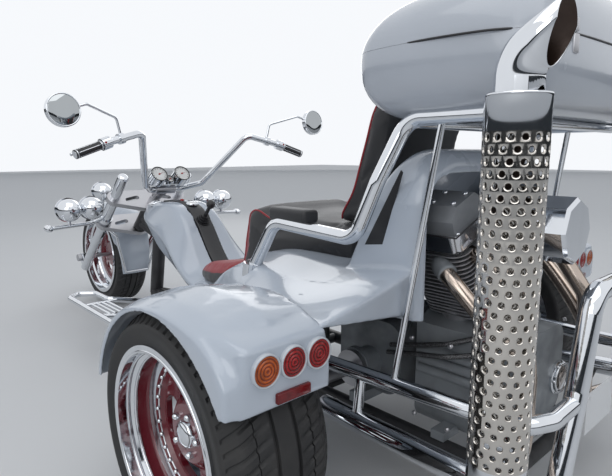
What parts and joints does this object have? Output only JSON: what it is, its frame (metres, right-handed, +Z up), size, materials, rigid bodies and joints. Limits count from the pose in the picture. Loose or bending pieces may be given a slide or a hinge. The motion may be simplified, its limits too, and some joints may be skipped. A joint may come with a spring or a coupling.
{
  "type": "motorized trike",
  "caption": "Open three-wheeled motor trike with a raked chrome fork, wide rear wheels, stepped twin seats, a V-twin engine behind them and a domed hinged top box.",
  "frame": {"origin": "on the ground, in the middle plane, midway between the front tyre and the rearmost point of the exhaust pipes", "axes": "+X forward, +Y to the left of a rider, +Z up"},
  "size_m": [3.29, 1.778, 1.352],
  "materials": {
    "white_body": "gloss fibreglass, clear lacquer",
    "chrome": "polished",
    "black_vinyl": "satin black upholstery with red panels",
    "black_trim": "satin moulded black",
    "tyre": "matt black rubber",
    "wheel_red": "gloss maroon paint",
    "engine_grey": "satin grey cast metal",
    "frame_steel": "gloss black paint",
    "lamp_red": "clear red lens",
    "steel": "plain machined steel",
    "plate": "blank white plate"
  },
  "bodies": {
    "chassis": {"air_cleaner": "chrome", "armrests": "black_vinyl", "backrest": "black_vinyl", "box_base": "white_body", "box_rack": "frame_steel", "box_struts": "chrome", "console": "black_trim", "cylinder_left": "engine_grey", "cylinder_right": "engine_grey", "engine_case": "engine_grey", "engine_cover": "chrome", "fender_left": "white_body", "fender_right": "white_body", "footboard_left": "chrome", "footboard_right": "chrome", "frame": "frame_steel", "front_body": "white_body", "grab_rail_left": "chrome", "grab_rail_right": "chrome", "half_shafts": "chrome", "headers": "chrome", "number_plate": "plate", "oil_hoses": "engine_grey", "passenger_seat": "black_vinyl", "rear_arms": "frame_steel", "rear_body": "white_body", "rear_bumper": "chrome", "rider_seat": "black_vinyl", "rocker_cover_left": "chrome", "rocker_cover_right": "chrome", "shift_lever": "black_trim", "side_bars": "chrome", "stack_left": "chrome", "stack_right": "chrome", "tail_lamps": "lamp_red", "transaxle": "engine_grey"},
    "steering": {"fender_stays": "white_body", "fork_legs": "chrome", "fork_yokes": "chrome", "front_axle": "steel", "front_fender": "white_body", "front_lamps": "chrome", "gauges": "chrome", "grips": "black_trim", "hand_levers": "chrome", "handlebar": "chrome", "lamp_bar": "chrome", "mirrors": "chrome", "riser_boot": "black_trim"},
    "front_wheel": {"front_tyre": "tyre", "front_rim": "chrome", "front_wheel_centre": "wheel_red"},
    "rear_wheel_left": {"rear_tyre_left": "tyre", "rear_rim_left": "chrome", "rear_wheel_centre_left": "wheel_red"},
    "rear_wheel_right": {"rear_tyre_right": "tyre", "rear_rim_right": "chrome", "rear_wheel_centre_right": "wheel_red"},
    "box_lid": {"box_lid": "white_body"}
  },
  "joints": [
    {"name": "steering", "type": "hinge", "parent": "chassis", "child": "steering", "pos_m": [0.88708, 0, 0.56158], "axis": [-0.7361, 0, 0.6769], "range_deg": [-35, 35]},
    {"name": "front_wheel_spin", "type": "hinge", "parent": "steering", "child": "front_wheel", "pos_m": [1.335, 0, 0.31], "axis": [0, 1, 0], "continuous": true},
    {"name": "rear_wheel_left_spin", "type": "hinge", "parent": "chassis", "child": "rear_wheel_left", "pos_m": [-0.993, 0.748, 0.306], "axis": [0, 1, 0], "continuous": true},
    {"name": "rear_wheel_right_spin", "type": "hinge", "parent": "chassis", "child": "rear_wheel_right", "pos_m": [-0.993, -0.748, 0.306], "axis": [0, 1, 0], "continuous": true},
    {"name": "box_lid_hinge", "type": "hinge", "parent": "chassis", "child": "box_lid", "pos_m": [-1.104, 0, 1.1903], "axis": [0, 1, 0], "range_deg": [0, 70]}
  ]
}
